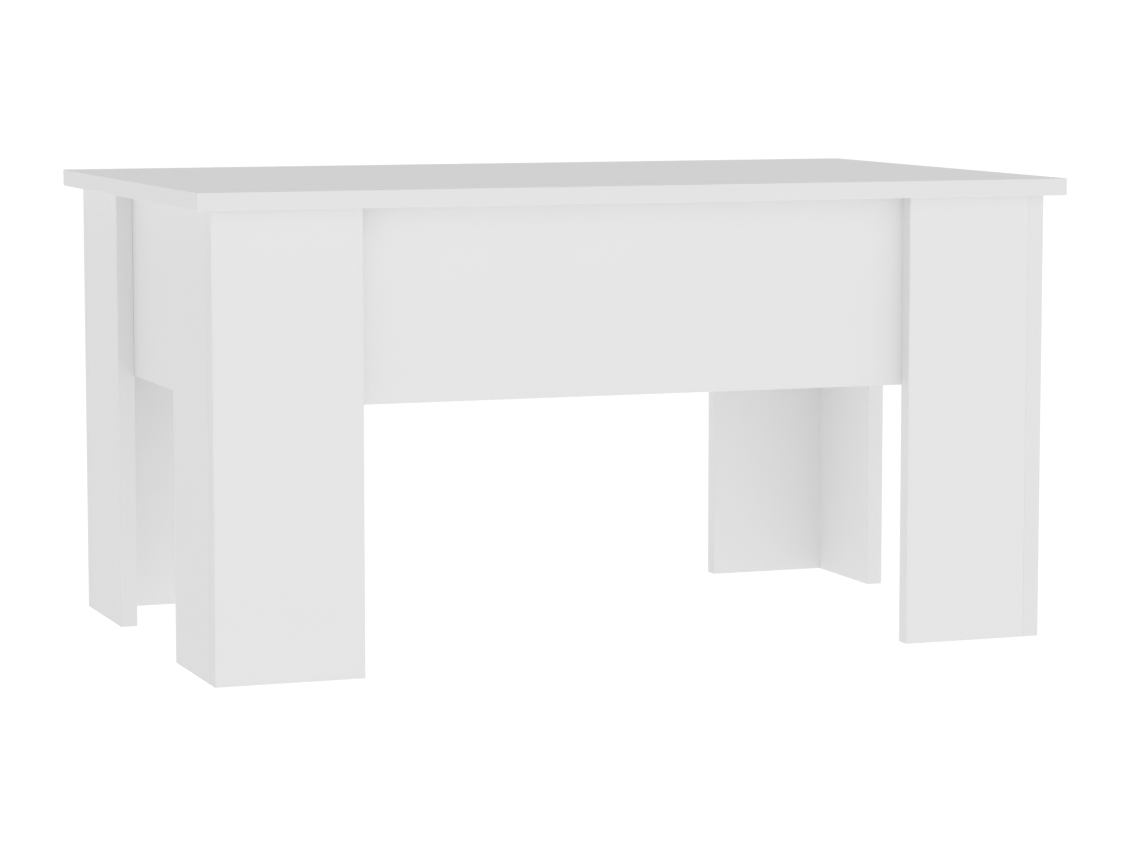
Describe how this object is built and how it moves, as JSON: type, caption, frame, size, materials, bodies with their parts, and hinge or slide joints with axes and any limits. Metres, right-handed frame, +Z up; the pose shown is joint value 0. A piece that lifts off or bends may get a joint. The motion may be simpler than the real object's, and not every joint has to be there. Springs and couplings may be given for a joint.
{
  "type": "lift top coffee table",
  "caption": "Low rectangular table in white board on L-shaped corner legs; its top swings up and forward on spring-assisted arms over a storage compartment.",
  "frame": {"origin": "on the floor, under the centre of the tabletop, with the table closed", "axes": "+X along the table's length, -Y towards the front, where the raised top comes out over the sitter's knees, +Z up"},
  "size_m": [0.79, 0.49, 0.41],
  "materials": {
    "white_melamine": "matt white melamine face on chipboard",
    "edge_banding": "matt white plastic edge banding",
    "black_powder_coat": "satin black powder coat",
    "zinc_plated_steel": "bright zinc plate",
    "die_cast_zinc": "dull die-cast zinc",
    "spring_steel": "drawn spring wire, lightly oiled",
    "nylon": "natural nylon",
    "rubber": "matt black rubber",
    "beech": "plain beech, unfinished"
  },
  "bodies": {
    "cabinet": {"apron_cam_bolts": "zinc_plated_steel", "apron_cam_housings": "die_cast_zinc", "apron_dowels": "beech", "apron_edge_bands": "edge_banding", "base_pivot_rivets": "zinc_plated_steel", "base_pivot_washers": "nylon", "base_plate_screws": "zinc_plated_steel", "bottom_panel": "white_melamine", "bottom_panel_cam_bolts": "zinc_plated_steel", "bottom_panel_cam_housings": "die_cast_zinc", "bottom_panel_dowels": "beech", "front_apron": "white_melamine", "front_left_leg_edge_bands": "edge_banding", "front_left_leg_front_board": "white_melamine", "front_left_leg_side_board": "white_melamine", "front_right_leg_edge_bands": "edge_banding", "front_right_leg_front_board": "white_melamine", "front_right_leg_side_board": "white_melamine", "left_apron": "white_melamine", "left_base_plate": "black_powder_coat", "leg_corner_dowels": "beech", "leg_screws": "zinc_plated_steel", "rear_apron": "white_melamine", "rear_left_leg_edge_bands": "edge_banding", "rear_left_leg_rear_board": "white_melamine", "rear_left_leg_side_board": "white_melamine", "rear_right_leg_edge_bands": "edge_banding", "rear_right_leg_rear_board": "white_melamine", "rear_right_leg_side_board": "white_melamine", "right_apron": "white_melamine", "right_base_plate": "black_powder_coat", "spring_anchor_pins": "zinc_plated_steel", "stop_pins": "zinc_plated_steel", "stop_sleeves": "rubber"},
    "left_main_arm": {"left_main_arm": "black_powder_coat", "left_spring_hook_pin": "zinc_plated_steel"},
    "right_main_arm": {"right_main_arm": "black_powder_coat", "right_spring_hook_pin": "zinc_plated_steel"},
    "tabletop": {"tabletop": "white_melamine", "tabletop_edge_bands": "edge_banding", "left_top_bracket": "black_powder_coat", "right_top_bracket": "black_powder_coat", "top_bracket_screws": "zinc_plated_steel", "top_pivot_rivets": "zinc_plated_steel", "top_pivot_washers": "nylon"},
    "left_follower_arm": {"left_follower_arm": "black_powder_coat"},
    "right_follower_arm": {"right_follower_arm": "black_powder_coat"},
    "left_spring": {"left_spring": "spring_steel"},
    "right_spring": {"right_spring": "spring_steel"}
  },
  "joints": [
    {"name": "lift", "type": "hinge", "parent": "cabinet", "child": "left_main_arm", "pos_m": [-0.3459, -0.07, 0.3455], "axis": [1, 0, 0], "range_deg": [0, 120], "stiffness_Nm_per_rad": 2, "springref_deg": 120},
    {"name": "top_level", "type": "hinge", "parent": "left_main_arm", "child": "tabletop", "pos_m": [-0.3459, 0.11974, 0.35544], "axis": [1, 0, 0], "range_deg": [-120, 0]},
    {"name": "right_lift", "type": "hinge", "parent": "cabinet", "child": "right_main_arm", "pos_m": [0.3459, -0.07, 0.3455], "axis": [1, 0, 0], "range_deg": [0, 120]},
    {"name": "left_follower", "type": "hinge", "parent": "cabinet", "child": "left_follower_arm", "pos_m": [-0.3459, -0.11633, 0.36911], "axis": [1, 0, 0], "range_deg": [0, 120]},
    {"name": "right_follower", "type": "hinge", "parent": "cabinet", "child": "right_follower_arm", "pos_m": [0.3459, -0.11633, 0.36911], "axis": [1, 0, 0], "range_deg": [0, 120]},
    {"name": "left_spring_swing", "type": "hinge", "parent": "cabinet", "child": "left_spring", "pos_m": [-0.3355, 0.04117, 0.33185], "axis": [1, 0, 0], "range_deg": [0, 8.7], "deforming": ["left_spring"]},
    {"name": "right_spring_swing", "type": "hinge", "parent": "cabinet", "child": "right_spring", "pos_m": [0.3355, 0.04117, 0.33185], "axis": [1, 0, 0], "range_deg": [0, 8.7], "deforming": ["right_spring"]}
  ],
  "couplings": [
    {"joint": "top_level", "follows": "lift", "ratio": -1},
    {"joint": "right_lift", "follows": "lift", "ratio": 1},
    {"joint": "left_follower", "follows": "lift", "ratio": 1},
    {"joint": "right_follower", "follows": "lift", "ratio": 1},
    {"joint": "left_spring_swing", "follows": "lift", "ratio": 0.07172},
    {"joint": "right_spring_swing", "follows": "lift", "ratio": 0.07172}
  ]
}
